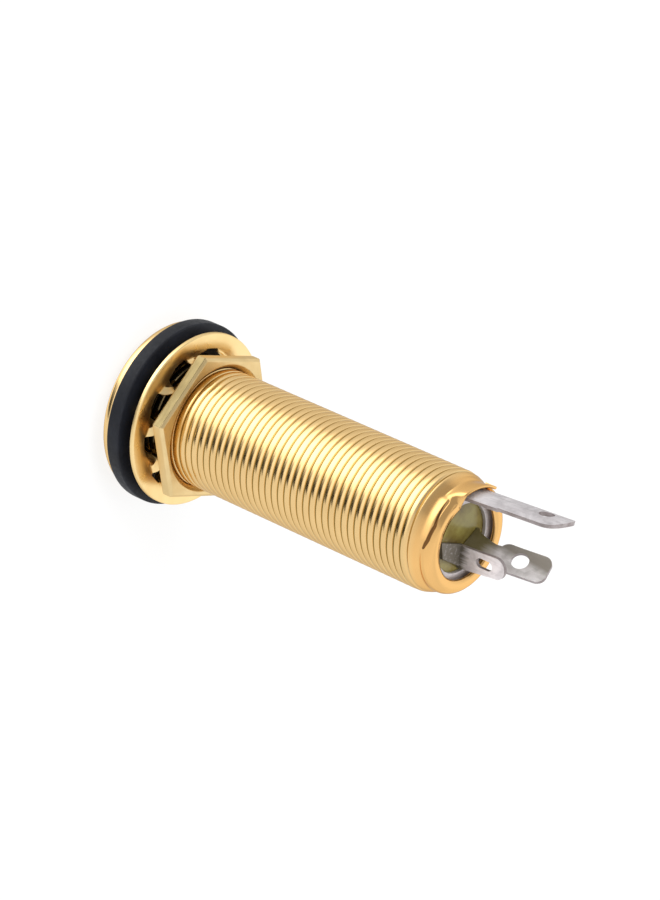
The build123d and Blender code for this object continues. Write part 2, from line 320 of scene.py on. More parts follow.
def thread_tone(nodes, links, coords, tone):
    """The barrel's painted light: shade in the grooves, an orange reflection on the neck, a dark reflection
    in the crease, and near-black shade.
    """
    x, y, z = separate(nodes, links, coords)
    squares = math_node(nodes, links, "ADD", product(nodes, links, x, x), product(nodes, links, y, y))
    radius = math_node(nodes, links, "SQRT", squares)
    outside = map_range(nodes, links, radius, *OUTER_SURFACE, 0.0, 1.0)
    groove = groove_shade_mask(nodes, links, radius, z, outside)
    # Painted shade in the grooves, in an olive tone
    tone = mix_color(nodes, links, groove, tone, (0.37, 0.35, 0.2))
    # Painted warm reflection: the neck and lip turn more orange
    neck = map_range(nodes, links, z, *NECK_ZONE, 0.0, 0.85)
    tone = mix_color(nodes, links, neck, tone, (0.83, 0.48, 0.17))
    # Painted dark reflection along the lip's crease
    crease = crease_reflection_mask(nodes, links, coords, z, outside)
    tone = mix_color(nodes, links, crease, tone, (0.12, 0.045, 0.012))
    shade = shade_mask(nodes, links, z, outside)
    return mix_color(nodes, links, shade, tone, (0.02, 0.018, 0.01))


gold_turned = gold_material(
    "gold_turned", (0.86, 0.6, 0.28), (0.8, 0.55, 0.25), 2600, (0.12, 0.2), 0.05, threaded=True)
gold_pressed = gold_material("gold_pressed", (0.95, 0.72, 0.36), (0.9, 0.65, 0.3), 1500, (0.26, 0.38))
gold_milled = gold_material("gold_milled", (0.84, 0.64, 0.33), (0.74, 0.56, 0.28), 1500, (0.36, 0.5), 0.1)
# Painted dark reflection: a darker gold for one wall of the nut
gold_dark_reflection = gold_material("gold_dark_reflection", (0.38, 0.3, 0.145), (0.33, 0.255, 0.12), 1500, (0.42, 0.55), 0.1)


def black_material():
    mat, nodes, links, shader = material("black_satin")
    coords = scaled(nodes, links, (1, 1, 1))
    cloud = noise(nodes, links, coords, 500, 5)
    tone = ramp(nodes, links, cloud, [(0.3, (0.006, 0.0065, 0.009)), (0.7, (0.011, 0.013, 0.019))])
    links.new(tone, shader.inputs["Base Color"])
    fine = noise(nodes, links, coords, 2400, 3)
    links.new(map_range(nodes, links, fine, 0.3, 0.7, 0.42, 0.58), shader.inputs["Roughness"])
    shader.inputs["Specular IOR Level"].default_value = 0.22
    links.new(bump(nodes, links, fine, 0.25, 0.00005), shader.inputs["Normal"])
    return mat


def tinned_material(name, low, middle, high, roughness=(0.4, 0.58)):
    mat, nodes, links, shader = material(name)
    coords = scaled(nodes, links, (1, 1, 1))
    cloud = noise(nodes, links, coords, 700, 6, 0.6, 0.6)
    tone = ramp(nodes, links, cloud, [(0.28, low), (0.5, middle), (0.72, high)])
    drawn = noise(nodes, links, scaled(nodes, links, (3200, 3200, 260)), 1, 4)
    streak = map_range(nodes, links, drawn, 0.52, 0.7, 0.0, 0.5)
    tone = mix_color(nodes, links, streak, tone, low)
    links.new(tone, shader.inputs["Base Color"])
    shader.inputs["Metallic"].default_value = 0.6
    links.new(map_range(nodes, links, drawn, 0.3, 0.7, *roughness), shader.inputs["Roughness"])
    links.new(bump(nodes, links, drawn, 0.2, 0.00006), shader.inputs["Normal"])
    return mat, nodes, links, shader, coords, tone, drawn


def plain_tinned(name, *tones):
    return tinned_material(name, *tones)[0]


def lug_material(name, low, middle, high, root, root_shade_top, side=None, side_shade_tone=None):
    """Tinned metal with painted shade at its root, and painted shade along one side if that is given.

    root_shade_top holds the heights where the root's tone starts to fade and where it ends. side holds a
    direction and the distances along it where the side's tone is full and where it is gone.
    """
    mat, nodes, links, shader, coords, tone, drawn = tinned_material(name, low, middle, high)
    _, _, z = separate(nodes, links, coords)
    wave = map_range(nodes, links, drawn, 0.3, 0.7, -0.0004, 0.0004)
    height = math_node(nodes, links, "ADD", z, wave)
    share = map_range(nodes, links, height, *root_shade_top, 0.9, 0.0)
    # Painted shade along one side
    if side is not None:
        direction, full, none = side
        along = nodes.new("ShaderNodeVectorMath")
        along.operation = "DOT_PRODUCT"
        links.new(coords, along.inputs[0])
        along.inputs[1].default_value = direction
        edge = map_range(nodes, links, along.outputs["Value"], full, none, 1.0, 0.0)
        tone = mix_color(nodes, links, edge, tone, side_shade_tone)
    # Painted shade at the root
    tone = mix_color(nodes, links, share, tone, root)
    links.new(tone, shader.inputs["Base Color"])
    return mat


def laminate_material():
    mat, nodes, links, shader = material("olive_laminate")
    coords = scaled(nodes, links, (1, 1, 1))
    cloud = noise(nodes, links, coords, 420, 4)
    tone = ramp(nodes, links, cloud, [
        (0.32, (0.1, 0.068, 0.016)), (0.5, (0.18, 0.14, 0.035)), (0.68, (0.25, 0.215, 0.06))])
    links.new(tone, shader.inputs["Base Color"])
    shader.inputs["Roughness"].default_value = 0.24
    fine = noise(nodes, links, coords, 3000, 2)
    links.new(bump(nodes, links, fine, 0.1, 0.00004), shader.inputs["Normal"])
    return mat


def liner_material():
    mat, nodes, links, shader = material("fibre_liner")
    coords = scaled(nodes, links, (1, 1, 1))
    cloud = noise(nodes, links, coords, 800, 5)
    tone = ramp(nodes, links, cloud, [(0.3, (0.36, 0.27, 0.15)), (0.7, (0.5, 0.4, 0.25))])
    links.new(tone, shader.inputs["Base Color"])
    shader.inputs["Roughness"].default_value = 0.7
    links.new(bump(nodes, links, cloud, 0.2, 0.00005), shader.inputs["Normal"])
    return mat


black_satin = black_material()
tinned = plain_tinned("tinned", (0.38, 0.355, 0.36), (0.54, 0.51, 0.52), (0.68, 0.65, 0.66))
# Painted shade: a darker tinned tone for the plates' edge faces
cut_edge_shade = plain_tinned("tinned_cut_edge", (0.2, 0.17, 0.16), (0.32, 0.28, 0.28), (0.44, 0.4, 0.4))
# Lighter copies of the tinned metal for the lugs, as painted light, each with painted shade at its root
ring_lug_painted_light_shade = lug_material(
    "tinned_ring_lug", (0.6, 0.56, 0.57), (0.84, 0.79, 0.81), (0.95, 0.91, 0.92),
    root=(0.1, 0.085, 0.05), root_shade_top=(0.0386, 0.0395))
tip_lug_painted_light_shade = lug_material(
    "tinned_tip_lug", (0.42, 0.4, 0.38), (0.66, 0.63, 0.62), (0.84, 0.81, 0.81),
    root=(0.17, 0.145, 0.05), root_shade_top=(0.0397, 0.0416),
    side=((cos(radians(40)), sin(radians(40)), 0), -0.0019, -0.0011), side_shade_tone=(0.26, 0.235, 0.2))
laminate = laminate_material()
fibre = liner_material()
spring_gold = gold_material("spring_bronze", (0.8, 0.6, 0.32), (0.7, 0.5, 0.25), 2000, (0.22, 0.34))


# Barrel: flange, helical thread, neck, rolled lip and the bores, in one closed surface.
# LIP_CUT, LIP_CLOSED and CREASE are degrees from the middle of the sleeve tab.
EVEN = 144
LIP_CUT = -21.0
LIP_CLOSED = (-29.6, -27.4)
CREASE = (33.0, 93.0)
extra = np.radians(np.array((LIP_CUT, LIP_CUT - 0.06, -28.2, -29.0, -24.2)) + TAB_AZ) % (2 * pi)
angles = np.sort(np.concatenate([np.arange(EVEN) * 2 * pi / EVEN, extra]))
AROUND = len(angles)


def ring_row(radius, z):
    """A row of points round the barrel. The radius and the height may differ from angle to angle."""
    return np.stack([radius * np.cos(angles), radius * np.sin(angles), z * np.ones(AROUND)], 1)


def groove_depth(t):
    """Drop below the crest at a distance t, 0 to 0.5 of a pitch, from the groove's middle."""
    wall = np.clip(1 - t / 0.15, 0, 1) ** 1.1
    crown = np.clip((0.5 - t) / 0.35, 0, 1) ** 2
    return 0.24 * wall + 0.03 * crown


def outside_radius(z):
    """Radius over the thread, and then over the convex shoulder that ends it."""
    along = np.clip(np.asarray(z, float) - THREAD_END, 0, None)
    return THREAD_R - SHOULDER_R + np.sqrt(SHOULDER_R ** 2 - along ** 2)


def barrel_surface():
    samples = (0.0, 0.05, 0.1, 0.15, 0.25, 0.37, 0.5, 0.63, 0.75, 0.85, 0.9, 0.95)
    start, end = FLANGE_T, THREAD_RUN
    rows = []
    turn = -1
    while start + PITCH * turn < end + PITCH:
        for s in samples:
            rows.append((start + PITCH * turn, s))
        turn += 1
    thread = []
    for base, s in rows:
        z = base + PITCH * s + PITCH * angles / (2 * pi)
        t = np.minimum(s, 1 - s) * np.ones(AROUND)
        fade = 1 - smoothstep(end - 0.8, end - 0.02, z)
        depth = np.where((z <= start) | (z >= end), 0.0, groove_depth(t) * fade)
        z = np.clip(z, start, end)
        thread.append(ring_row(outside_radius(z) - depth, z))
    # After one turn round, a row of the thread meets the row one pitch higher
    per_turn = len(samples)

    # Rolled end: profiles of the rolled, the creased and the open lip, mixed round the barrel
    rolled = [
        (5.649, 37.44), (5.6, 37.53), (5.539, 37.632), (5.45, 37.76), (5.37, 37.87), (5.335, 37.96),
        (5.33, 38.05), (5.345, 38.13), (5.385, 38.24), (5.418, 38.41), (5.392, 38.642), (5.314, 38.862),
        (5.188, 39.058), (5.022, 39.222), (4.823, 39.343), (4.6, 39.418), (4.35, 39.42), (4.08, 39.35),
        (3.93, 39.24), (3.87, 39.08), (3.92, 38.95), (4.1, 38.85), (4.5, 38.75), (4.9, 38.66),
        (5.04, 38.5), (5.06, 38.2), (5.06, 37.7),
    ]
    creased = [
        (5.649, 37.44), (5.61, 37.56), (5.565, 37.7), (5.52, 37.86), (5.485, 38.04), (5.46, 38.24),
        (5.445, 38.44), (5.43, 38.6), (5.39, 38.72), (5.3, 38.79), (5.27, 38.86), (5.28, 38.93),
        (5.18, 39.065),
    ] + rolled[13:]
    opened = [
        (5.649, 37.44), (5.61, 37.56), (5.565, 37.7), (5.51, 37.83), (5.46, 37.93), (5.42, 38.03),
        (5.4, 38.12), (5.4, 38.24), (5.41, 38.38), (5.44, 38.6), (5.48, 38.84), (5.51, 39.07),
        (5.54, 39.3), (5.56, 39.5), (5.575, 39.68), (5.57, 39.78), (5.52, 39.85), (5.44, 39.86),
        (5.36, 39.84), (5.29, 39.75), (5.26, 39.55), (5.23, 39.25), (5.18, 38.95), (5.1, 38.6),
        (5.07, 38.4), (5.06, 38.2), (5.06, 37.7),
    ]
    off = (np.degrees(angles) - TAB_AZ + 180) % 360 - 180
    near_share = 1 - smoothstep(TAB_ARC / 2 + 0.5, TAB_ARC / 2 + 11, off)
    far_share = smoothstep(*LIP_CLOSED, off)
    cut_share = np.where(off < LIP_CUT - 0.03, 1.0, 0.0)
    weight = np.where(off > 0, near_share, far_share)
    first, last = CREASE
    crease_share = smoothstep(first, first + 8, off) * (1 - smoothstep(last - 12, last + 8, off))
    lip = []
    for (ra, za), (rc, zc), (rb, zb) in zip(rolled[1:], creased[1:], opened[1:]):
        low = min(zb, 38.5)
        r = ra + (rc - ra) * crease_share
        z = za + (zc - za) * crease_share
        r = r + (rb - r) * weight
        z = z + (zb + (low - zb) * cut_share - z) * weight
        lip.append(ring_row(r, z))

    # Inside and the flange
    inner = round_profile([
        (5.06, 35.66, 0.0), (4.58, 35.66, 0.05), (4.58, 14.0, 0.0), (3.2, 14.0, 0.15), (3.2, 0.45, 0.12),
        (3.65, 0.0, 0.12), (5.8, 0.0, 0.3),
    ], 3)[:-2]
    flange = []
    for k in range(13):
        turn_angle = pi / 2 * k / 12
        bulge = sin(turn_angle)
        flange.append((5.8 + (FLANGE_R - 5.8) * bulge, 1.5 * (1 - cos(turn_angle)) ** 0.92))
    flange += [(FLANGE_R, 1.62), (FLANGE_R, 1.86), (FLANGE_R - 0.04, 1.95), (FLANGE_R - 0.14, 2.0)]
    ring_rows = [ring_row(r, z) for r, z in inner + flange]
    return thread, per_turn, lip, ring_rows


def build_barrel():
    thread, per_turn, lip, ring_rows = barrel_surface()
    verts = []
    faces = []

    def add_row(row):
        first = len(verts)
        verts.extend(map(tuple, row))
        return first

    thread_rows = [add_row(row) for row in thread]
    last = AROUND - 1
    for row in range(len(thread_rows) - 1):
        low, high = thread_rows[row:row + 2]
        for i in range(last):
            faces.append((low + i, low + i + 1, high + i + 1, high + i))
        if row + per_turn + 1 < len(thread_rows):
            next_low, next_high = thread_rows[row + per_turn:row + per_turn + 2]
            faces.append((low + last, next_low, next_high, high + last))
    lip_rows = [add_row(row) for row in lip]
    other_rows = [add_row(row) for row in ring_rows]
    top = add_row(ring_row(float(outside_radius(THREAD_RUN)), THREAD_RUN))
    bottom = add_row(ring_row(THREAD_R, FLANGE_T))
    chain = [top] + lip_rows + other_rows + [bottom]
    for a, b in zip(chain[:-1], chain[1:]):
        for i in range(AROUND):
            j = (i + 1) % AROUND
            faces.append((a + i, a + j, b + j, b + i))
    return verts, faces


verts, faces = build_barrel()
new_object("barrel_turned", verts, faces, gold_turned, "barrel", ["barrel"], 50)


# Panel washer, flat on the back of the flange
PANEL_BORE_R = 6.15
PANEL_R = 9.25
PANEL_TOP = 3.48
profile = round_profile([
    (PANEL_BORE_R, FLANGE_T, 0.1), (PANEL_R, FLANGE_T, 0.16),
    (PANEL_R, PANEL_TOP, 0.16), (PANEL_BORE_R, PANEL_TOP, 0.1),
])
verts, faces = lathe(profile, 160)
new_object(
    "panel_washer_moulded", verts, faces, black_satin, "barrel", ["panel_washer"])


# Lock washer: rim with ten teeth that twist as they run inwards
TOOTH_Z = 4.817
RIM_T = 0.5
RIM_INNER_R = 7.2
RIM_R = 8.75
TEETH = 10
FIRST_TOOTH = -4.5
TOOTH_ROOT_R = 7.4
TOOTH_END_R = 6.1
TOOTH_HALF = 1.34
TOOTH_FLARE = 0.42
TOOTH_TWIST = 75


def lock_washer_mesh():
    verts, faces = lathe(round_profile([
        (RIM_INNER_R, TOOTH_Z - RIM_T / 2, 0.05), (RIM_R, TOOTH_Z - RIM_T / 2, 0.1),
        (RIM_R, TOOTH_Z + RIM_T / 2, 0.14), (RIM_INNER_R, TOOTH_Z + RIM_T / 2, 0.06),
    ]), 160)
    steps = 12
    for tooth in range(TEETH):
        azimuth = radians(FIRST_TOOTH + 360 / TEETH * tooth)
        radial = np.array((cos(azimuth), sin(azimuth), 0))
        tangent = np.array((-sin(azimuth), cos(azimuth), 0))
        up = np.array((0.0, 0.0, 1.0))
        rings = []
        for k in range(steps + 1):
            t = k / steps
            r = TOOTH_ROOT_R - t * (TOOTH_ROOT_R - TOOTH_END_R)
            twist = radians(TOOTH_TWIST * float(smoothstep(0.3, 1.0, t)))
            half = TOOTH_HALF + TOOTH_FLARE * float(smoothstep(0.4, 0.08, t))
            thick = RIM_T / 2 * (0.99 - 0.12 * t)
            ring = []
            for w, h in (
                (-half, -thick), (-half * 0.4, -thick), (half * 0.4, -thick), (half, -thick),
                (half + 0.04, 0), (half, thick), (half * 0.4, thick), (-half * 0.4, thick), (-half, thick),
                (-half - 0.04, 0),
            ):
                x = w * cos(twist) - h * sin(twist)
                y = w * sin(twist) + h * cos(twist)
                ring.append(tuple(radial * r + tangent * x + up * (TOOTH_Z + y)))
            rings.append(ring)
        first = len(verts)
        size = len(rings[0])
        for ring in rings:
            verts.extend(ring)
        for k in range(steps):
            for i in range(size):
                j = (i + 1) % size
                a = first + k * size
                faces.append((a + i, a + j, a + size + j, a + size + i))
        faces.append(tuple(first + i for i in range(size)))
        faces.append(tuple(first + steps * size + i for i in reversed(range(size))))
    return verts, faces


verts, faces = lock_washer_mesh()
new_object(
    "lock_washer_pressed", verts, faces, gold_pressed, "lock_washer", ["lock_washer"], 45)


# Hex nut: soft edges and a countersunk bore. NUT_TURN is the azimuth of one corner.
NUT_TURN = -7.3
# Azimuth of the wall with the painted dark reflection
DARK_REFLECTION_WALL = NUT_TURN - 30


def nut_mesh():
    bottom, top = 6.155, 7.705
    flat = 7.0
    bevel, foot_bevel = 0.25, 0.38
    turn = radians(NUT_TURN)
    bore, sink = 6.0, 0.45
    tan_half = sin(pi / 6) / cos(pi / 6)
    sides = 6
    per_side = 12
    around = sides * per_side

    def hexagon(distance, z):
        points = []
        for side in range(sides):
            a0 = turn + side * pi / 3
            a1 = a0 + pi / 3
            radius = distance / cos(pi / 6)
            p0 = np.array((radius * cos(a0), radius * sin(a0), z))
            p1 = np.array((radius * cos(a1), radius * sin(a1), z))
            for k in range(per_side):
                points.append(p0 + (p1 - p0) * k / per_side)
        return points

    def circle(radius, z):
        points = []
        for side in range(sides):
            a0 = turn + side * pi / 3
            for k in range(per_side):
                offset = -tan_half + 2 * tan_half * k / per_side
                a = a0 + pi / 6 + atan2(offset, 1.0)
                points.append(np.array((radius * cos(a), radius * sin(a), z)))
        return points

    rings = [
        circle(bore, bottom + sink), circle(bore + sink, bottom), hexagon(flat - foot_bevel, bottom),
        hexagon(flat, bottom + foot_bevel), hexagon(flat, top - bevel), hexagon(flat - bevel, top),
        circle(bore + sink, top), circle(bore, top - sink),
    ]
    verts = [tuple(p) for ring in rings for p in ring]
    faces = []
    for k in range(len(rings)):
        m = (k + 1) % len(rings)
        for i in range(around):
            j = (i + 1) % around
            faces.append((k * around + i, k * around + j, m * around + j, m * around + i))
    return verts, faces


def add_bevel(obj, width, segments=3, angle=25):
    modifier = obj.modifiers.new("soft_edges", "BEVEL")
    modifier.width = width * MM
    modifier.segments = segments
    modifier.limit_method = "ANGLE"
    modifier.angle_limit = radians(angle)
    modifier.harden_normals = True


verts, faces = nut_mesh()
nut = new_object("hex_nut_milled", verts, faces, gold_milled, "nut", ["hex_nut"], 25)
# One wall gets a darker, duller tone than the others, as a painted dark reflection in place of what it
# reflects; it turns with the nut
dark_reflection_normal = Vector((cos(radians(DARK_REFLECTION_WALL)), sin(radians(DARK_REFLECTION_WALL)), 0))
nut.data.materials.append(gold_dark_reflection)
for polygon in nut.data.polygons:
    if polygon.normal.dot(dark_reflection_normal) > 0.99:
        polygon.material_index = 1
add_bevel(nut, 0.07)


# Plates for the terminals: rows of points across the plate, with a patch round its hole
def lug_layout(lines, columns, hole_rows, hole_columns, centre, radius, straight, tilt):
    """Layout of a lug from its rows of points, with a round or slotted hole."""
    points = [p for line in lines for p in line]
    quads = []

    def at(i, j):
        return i * (columns + 1) + j

    i0, i1 = hole_rows
    j0, j1 = hole_columns
    for i in range(len(lines) - 1):
        for j in range(columns):
            if i0 <= i < i1 and j0 <= j < j1:
                continue
            quads.append((at(i, j), at(i, j + 1), at(i + 1, j + 1), at(i + 1, j)))
    border = [at(i0, j) for j in range(j0, j1)] + [at(i, j1) for i in range(i0, i1)]
    border += [at(i1, j) for j in range(j1, j0, -1)] + [at(i, j0) for i in range(i1, i0, -1)]
    rings = [border]
    for share in (0.5, 1.0):
        ring = []
        for index in border:
            u, v = points[index]
            x = (u - centre[0]) * cos(tilt) + (v - centre[1]) * sin(tilt)
            y = -(u - centre[0]) * sin(tilt) + (v - centre[1]) * cos(tilt)
            clamped = max(-straight, min(straight, y))
            angle = atan2(y - clamped, x)
            hx = radius * cos(angle)
            hy = clamped + radius * sin(angle)
            target_u = centre[0] + hx * cos(tilt) - hy * sin(tilt)
            target_v = centre[1] + hx * sin(tilt) + hy * cos(tilt)
            ring.append(len(points))
            points.append((u + (target_u - u) * share, v + (target_v - v) * share))
        rings.append(ring)
    for a, b in zip(rings[:-1], rings[1:]):
        for k in range(len(a)):
            m = (k + 1) % len(a)
            quads.append((a[k], a[m], b[m], b[k]))
    last = len(lines) - 1
    outline = [at(0, j) for j in range(columns)] + [at(i, columns) for i in range(last)]
    outline += [at(last, j) for j in range(columns, 0, -1)] + [at(i, 0) for i in range(last, 0, -1)]
    return points, quads, outline, rings[-1]


def thick_plate(name, layout, place, thickness, material_used, bevel_width):
    """Turns a flat layout into a tinned plate. place maps (u, v, depth) to a point."""
    points, quads, outline, hole_edge = layout
    size = len(points)
    verts = [place(u, v, 0.0) for u, v in points] + [place(u, v, thickness) for u, v in points]
    faces = [tuple(q) for q in quads] + [tuple(size + i for i in reversed(q)) for q in quads]
    ring_start = len(faces)
    for ring in (hole_edge, outline):
        for k in range(len(ring)):
            a, b = ring[k], ring[(k + 1) % len(ring)]
            faces.append((a, b, size + b, size + a))
    obj = new_object(
        name, verts, faces, material_used, "barrel", [], 40, ring_start, cut_edge_shade)
    if bevel_width > 0:
        add_bevel(obj, bevel_width, 2, 50)


def azimuth_axes(azimuth):
    a = radians(azimuth)
    return np.array((cos(a), sin(a), 0.0)), np.array((-sin(a), cos(a), 0.0))


# Sleeve terminal: the ring, and the curved tab with its hole and a step in one edge
TERMINAL_T = 0.4
TAB_LEAN = 3.6
TAB_ROOT_R = 4.56


def sleeve_tab():
    length = 11.75
    radius = TAB_ROOT_R + TERMINAL_T
    half = radians(TAB_ARC / 2) * radius
    round_start = 9.7
    hole_height, hole_radius = 9.08, 0.75
    rows = []
    levels = [0.12, 0.4, 1.0, 1.8, 2.6, 3.4, 4.2, 4.9, 5.02, 5.1, 5.9, 6.7, 7.4]
    hole_rows = [8.08 + 2.0 * k / 8 for k in range(9)]
    end_rows = [round_start + (length - round_start) * sin(radians(7.5 * k)) for k in range(2, 13)]
    for v in levels + hole_rows + end_rows:
        step = 0.13 * float(smoothstep(4.9, 5.1, v))
        share = 1.0
        if v > round_start:
            share = sqrt(max(0.0, 1 - ((v - round_start) / (length - round_start + 0.01)) ** 2.2))
        rows.append((v, -half * share, (half - step) * share))
    lines = [[(left + (right - left) * c / 16, v) for c in range(17)] for v, left, right in rows]
    first = len(levels)
    layout = lug_layout(
        lines, 16, (first, first + 8), (4, 12), (0.0, hole_height), hole_radius, 0.0, 0.0)
    lean = radians(TAB_LEAN)

    def place(u, v, depth):
        angle = radians(TAB_AZ) + u / radius
        r = radius - depth
        outwards, round_about = azimuth_axes(TAB_AZ)
        local = r * np.array((cos(angle), sin(angle), 0.0)) + np.array((0, 0, v))
        pivot = outwards * TAB_ROOT_R + np.array((0, 0, TERMINAL_T))
        rel = local - pivot
        x = rel @ outwards
        y = rel @ round_about
        z = rel[2]
        moved = outwards * (x * cos(lean) + z * sin(lean)) + round_about * y
        moved = moved + np.array((0, 0, z * cos(lean) - x * sin(lean)))
        return pivot + moved + np.array((0, 0, TERMINAL))

    thick_plate("sleeve_tab_plate", layout, place, TERMINAL_T, tinned, 0.0)


sleeve_tab()
ring_top = TERMINAL + TERMINAL_T
profile = round_profile([
    (3.42, TERMINAL, 0.05), (5.0, TERMINAL, 0.03), (5.0, ring_top, 0.03), (3.42, ring_top, 0.08),
])
verts, faces = lathe(profile, 96)
new_object("sleeve_ring_plate", verts, faces, tinned, "barrel", ["sleeve_terminal"])


# Tip lug: root, neck and a tilted head, with a hole in the head
LUG_T = 0.36
TIP_AZ = -50.0
TIP_BACK = -1.17
TIP_HOLE = (-0.11, -0.33)
TIP_HOLE_R = 0.85
TIP_TILT = radians(10.4)
TIP_HEAD = (-1.36, 5.95)
TIP_HALF = (1.43, 2.6)
TIP_CORNER = 0.9


def head_point(x, y):
    """A point of the tilted head, across and along it, as a point of the whole lug."""
    return (
        TIP_HEAD[0] + x * cos(TIP_TILT) - y * sin(TIP_TILT),
        TIP_HEAD[1] + x * sin(TIP_TILT) + y * cos(TIP_TILT),
    )


def tip_lines():
    """Rows of points across the lug, and the row where the patch round the hole starts."""
    neck_edge = [
        (0.09, -2.3), (0.2, -2.29), (0.36, -2.25), (0.55, -2.1), (0.8, -1.97), (1.1, -1.9), (1.5, -1.85),
        (1.9, -1.8), (2.3, -1.74), (2.6, -1.71), (2.85, -1.71), (3.05, -1.75),
    ]
    lines = []
    for v, left in neck_edge:
        tilt = TIP_TILT * float(smoothstep(1.2, 3.2, v))
        right = -0.1
        middle = (left + right) / 2
        half = (right - left) / 2
        rise = 0.12 * float(smoothstep(1.2, 3.2, v))
        line = []
        for c in range(13):
            across = -half + 2 * half * c / 12
            line.append((middle + across * cos(tilt), v + rise + across * sin(tilt)))
        lines.append(line)
    half_w, half_l = TIP_HALF
    levels = []
    for s in (0.1, 0.2, 0.36, 0.58, 0.8, 1.0):
        levels.append((-half_l + TIP_CORNER * s, half_w - TIP_CORNER + TIP_CORNER * sqrt(1 - (1 - s) ** 2)))
    hole_levels = [-0.33 - 1.0 + 2.0 * k / 8 for k in range(9)]
    for level in hole_levels:
        levels.append((level, half_w))
    for level in (0.95, 1.25, 1.5):
        levels.append((level, half_w))
    for s in (1.0, 0.8, 0.58, 0.36, 0.2, 0.1, 0.04, 0.01):
        levels.append((half_l - TIP_CORNER * s, half_w - TIP_CORNER + TIP_CORNER * sqrt(1 - (1 - s) ** 2)))
    for level, half in levels:
        line = []
        for c in range(13):
            u = -half + 2 * half * c / 12
            line.append(head_point(u, level))
        lines.append(line)
    return lines, len(neck_edge) + 6


lines, first_hole = tip_lines()
layout = lug_layout(
    lines, 12, (first_hole, first_hole + 8), (2, 10), head_point(*TIP_HOLE), TIP_HOLE_R, 0.0, TIP_TILT)
tip_out, tip_round = azimuth_axes(TIP_AZ)
TIP_LEAN = radians(10.0)


def place_tip(u, v, depth):
    fold = 0.09 * float(smoothstep(2.0, 3.3, v)) * (1 - float(smoothstep(3.3, 5.0, v)))
    forward = fold - depth
    normal = tip_out * cos(TIP_LEAN) + np.array((0, 0, sin(TIP_LEAN)))
    rise = np.array((0, 0, cos(TIP_LEAN))) - tip_out * sin(TIP_LEAN)
    root = tip_out * TIP_BACK + np.array((0, 0, TERMINAL))
    return root + tip_round * u + rise * v + normal * forward


thick_plate("tip_lug_plate", layout, place_tip, LUG_T, tip_lug_painted_light_shade, 0.04)


# Ring lug: narrower towards a round end, with a slot
RING_AZ = 9.5
SLOT_CENTRE = (1.65, 3.19)
SLOT_R = 0.475


def ring_lines():
    lines = []
    shoulder = 4.5
    radius = 1.06
    root_middle, end_middle = 1.97, 1.55
    root_half = 1.18
    levels = [0.0, 0.3, 0.8, 1.3, 1.75] + [2.14 + 2.1 * k / 8 for k in range(9)]
    end_levels = [shoulder + radius * s for s in (0.0, 0.25, 0.45, 0.62, 0.76, 0.87, 0.95, 0.99, 1.0)]
    for v in levels + end_levels:
        if v <= shoulder:
            t = v / shoulder
            middle = root_middle + (end_middle - root_middle) * t
            half = root_half + (radius - root_half) * t
        else:
            middle = end_middle
            half = radius * sqrt(max(0.0, 1 - ((v - shoulder) / radius) ** 2)) + 0.02
        lines.append([(middle - half + 2 * half * c / 12, v) for c in range(13)])
    return lines


layout = lug_layout(ring_lines(), 12, (5, 13), (3, 9), SLOT_CENTRE, SLOT_R, SLOT_R, 0.0)
ring_out, ring_round = azimuth_axes(RING_AZ)


def place_ring(u, v, depth):
    return ring_out * (-0.02 - depth) + ring_round * u + np.array((0, 0, TERMINAL + v))


thick_plate("ring_lug_plate", layout, place_ring, LUG_T, ring_lug_painted_light_shade, 0.04)


# Feet of the two lugs, flat on the disc, with the legs that go down through it
LEG_INNER = 2.3
LEG_OUTER = 2.66
LEG_HALF = 0.9
LEG_DOWN = 2.25
TIP_LEG_AZ = 170.0
RING_LEG_AZ = 20.0
BOX_FACES = ((3, 2, 1, 0), (4, 5, 6, 7), (0, 1, 5, 4), (1, 2, 6, 5), (2, 3, 7, 6), (3, 0, 4, 7))


def plan(azimuth, outward, sideways):
    out, side = azimuth_axes(azimuth)
    p = out * outward + side * sideways
    return p[0], p[1]


def foot(name, corners, leg_azimuth, node, finish):
    verts = []
    for z in (TERMINAL, TERMINAL + LUG_T):
        verts += [(x, y, z) for x, y in corners]
    first = len(verts)
    for z in (TERMINAL - LEG_DOWN, TERMINAL):
        for outward, sideways in (
            (LEG_INNER, -LEG_HALF), (LEG_OUTER, -LEG_HALF), (LEG_OUTER, LEG_HALF), (LEG_INNER, LEG_HALF),
        ):
            verts.append((*plan(leg_azimuth, outward, sideways), z))
    faces = list(BOX_FACES) + [tuple(first + i for i in face) for face in BOX_FACES]
    obj = new_object(name, verts, faces, finish, "barrel", [node], 30)
    add_bevel(obj, 0.05, 2, 40)


foot("tip_lug_foot", [
    plan(TIP_AZ, -1.35, -2.3), plan(TIP_AZ, -1.35, -0.1),
    plan(TIP_LEG_AZ, LEG_OUTER, -LEG_HALF), plan(TIP_LEG_AZ, LEG_OUTER, LEG_HALF),
], TIP_LEG_AZ, "tip_lug", tip_lug_painted_light_shade)
foot("ring_lug_foot", [
    plan(RING_AZ, -0.38, 0.79), plan(RING_LEG_AZ, LEG_OUTER, -LEG_HALF),
    plan(RING_LEG_AZ, LEG_OUTER, LEG_HALF), plan(RING_AZ, -0.38, 3.15),
], RING_LEG_AZ, "ring_lug", ring_lug_painted_light_shade)


# Materials for the pieces that keep their CAD mesh
def dress(node, mat):
    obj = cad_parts[node]
    obj.data.materials.clear()
    obj.data.materials.append(mat)
    for polygon in obj.data.polygons:
        polygon.material_index = 0


dress("insulating_liner", fibre)
dress("front_insulator", laminate)
dress("rear_insulator", laminate)
dress("tip_spring", spring_gold)
dress("ring_spring", spring_gold)


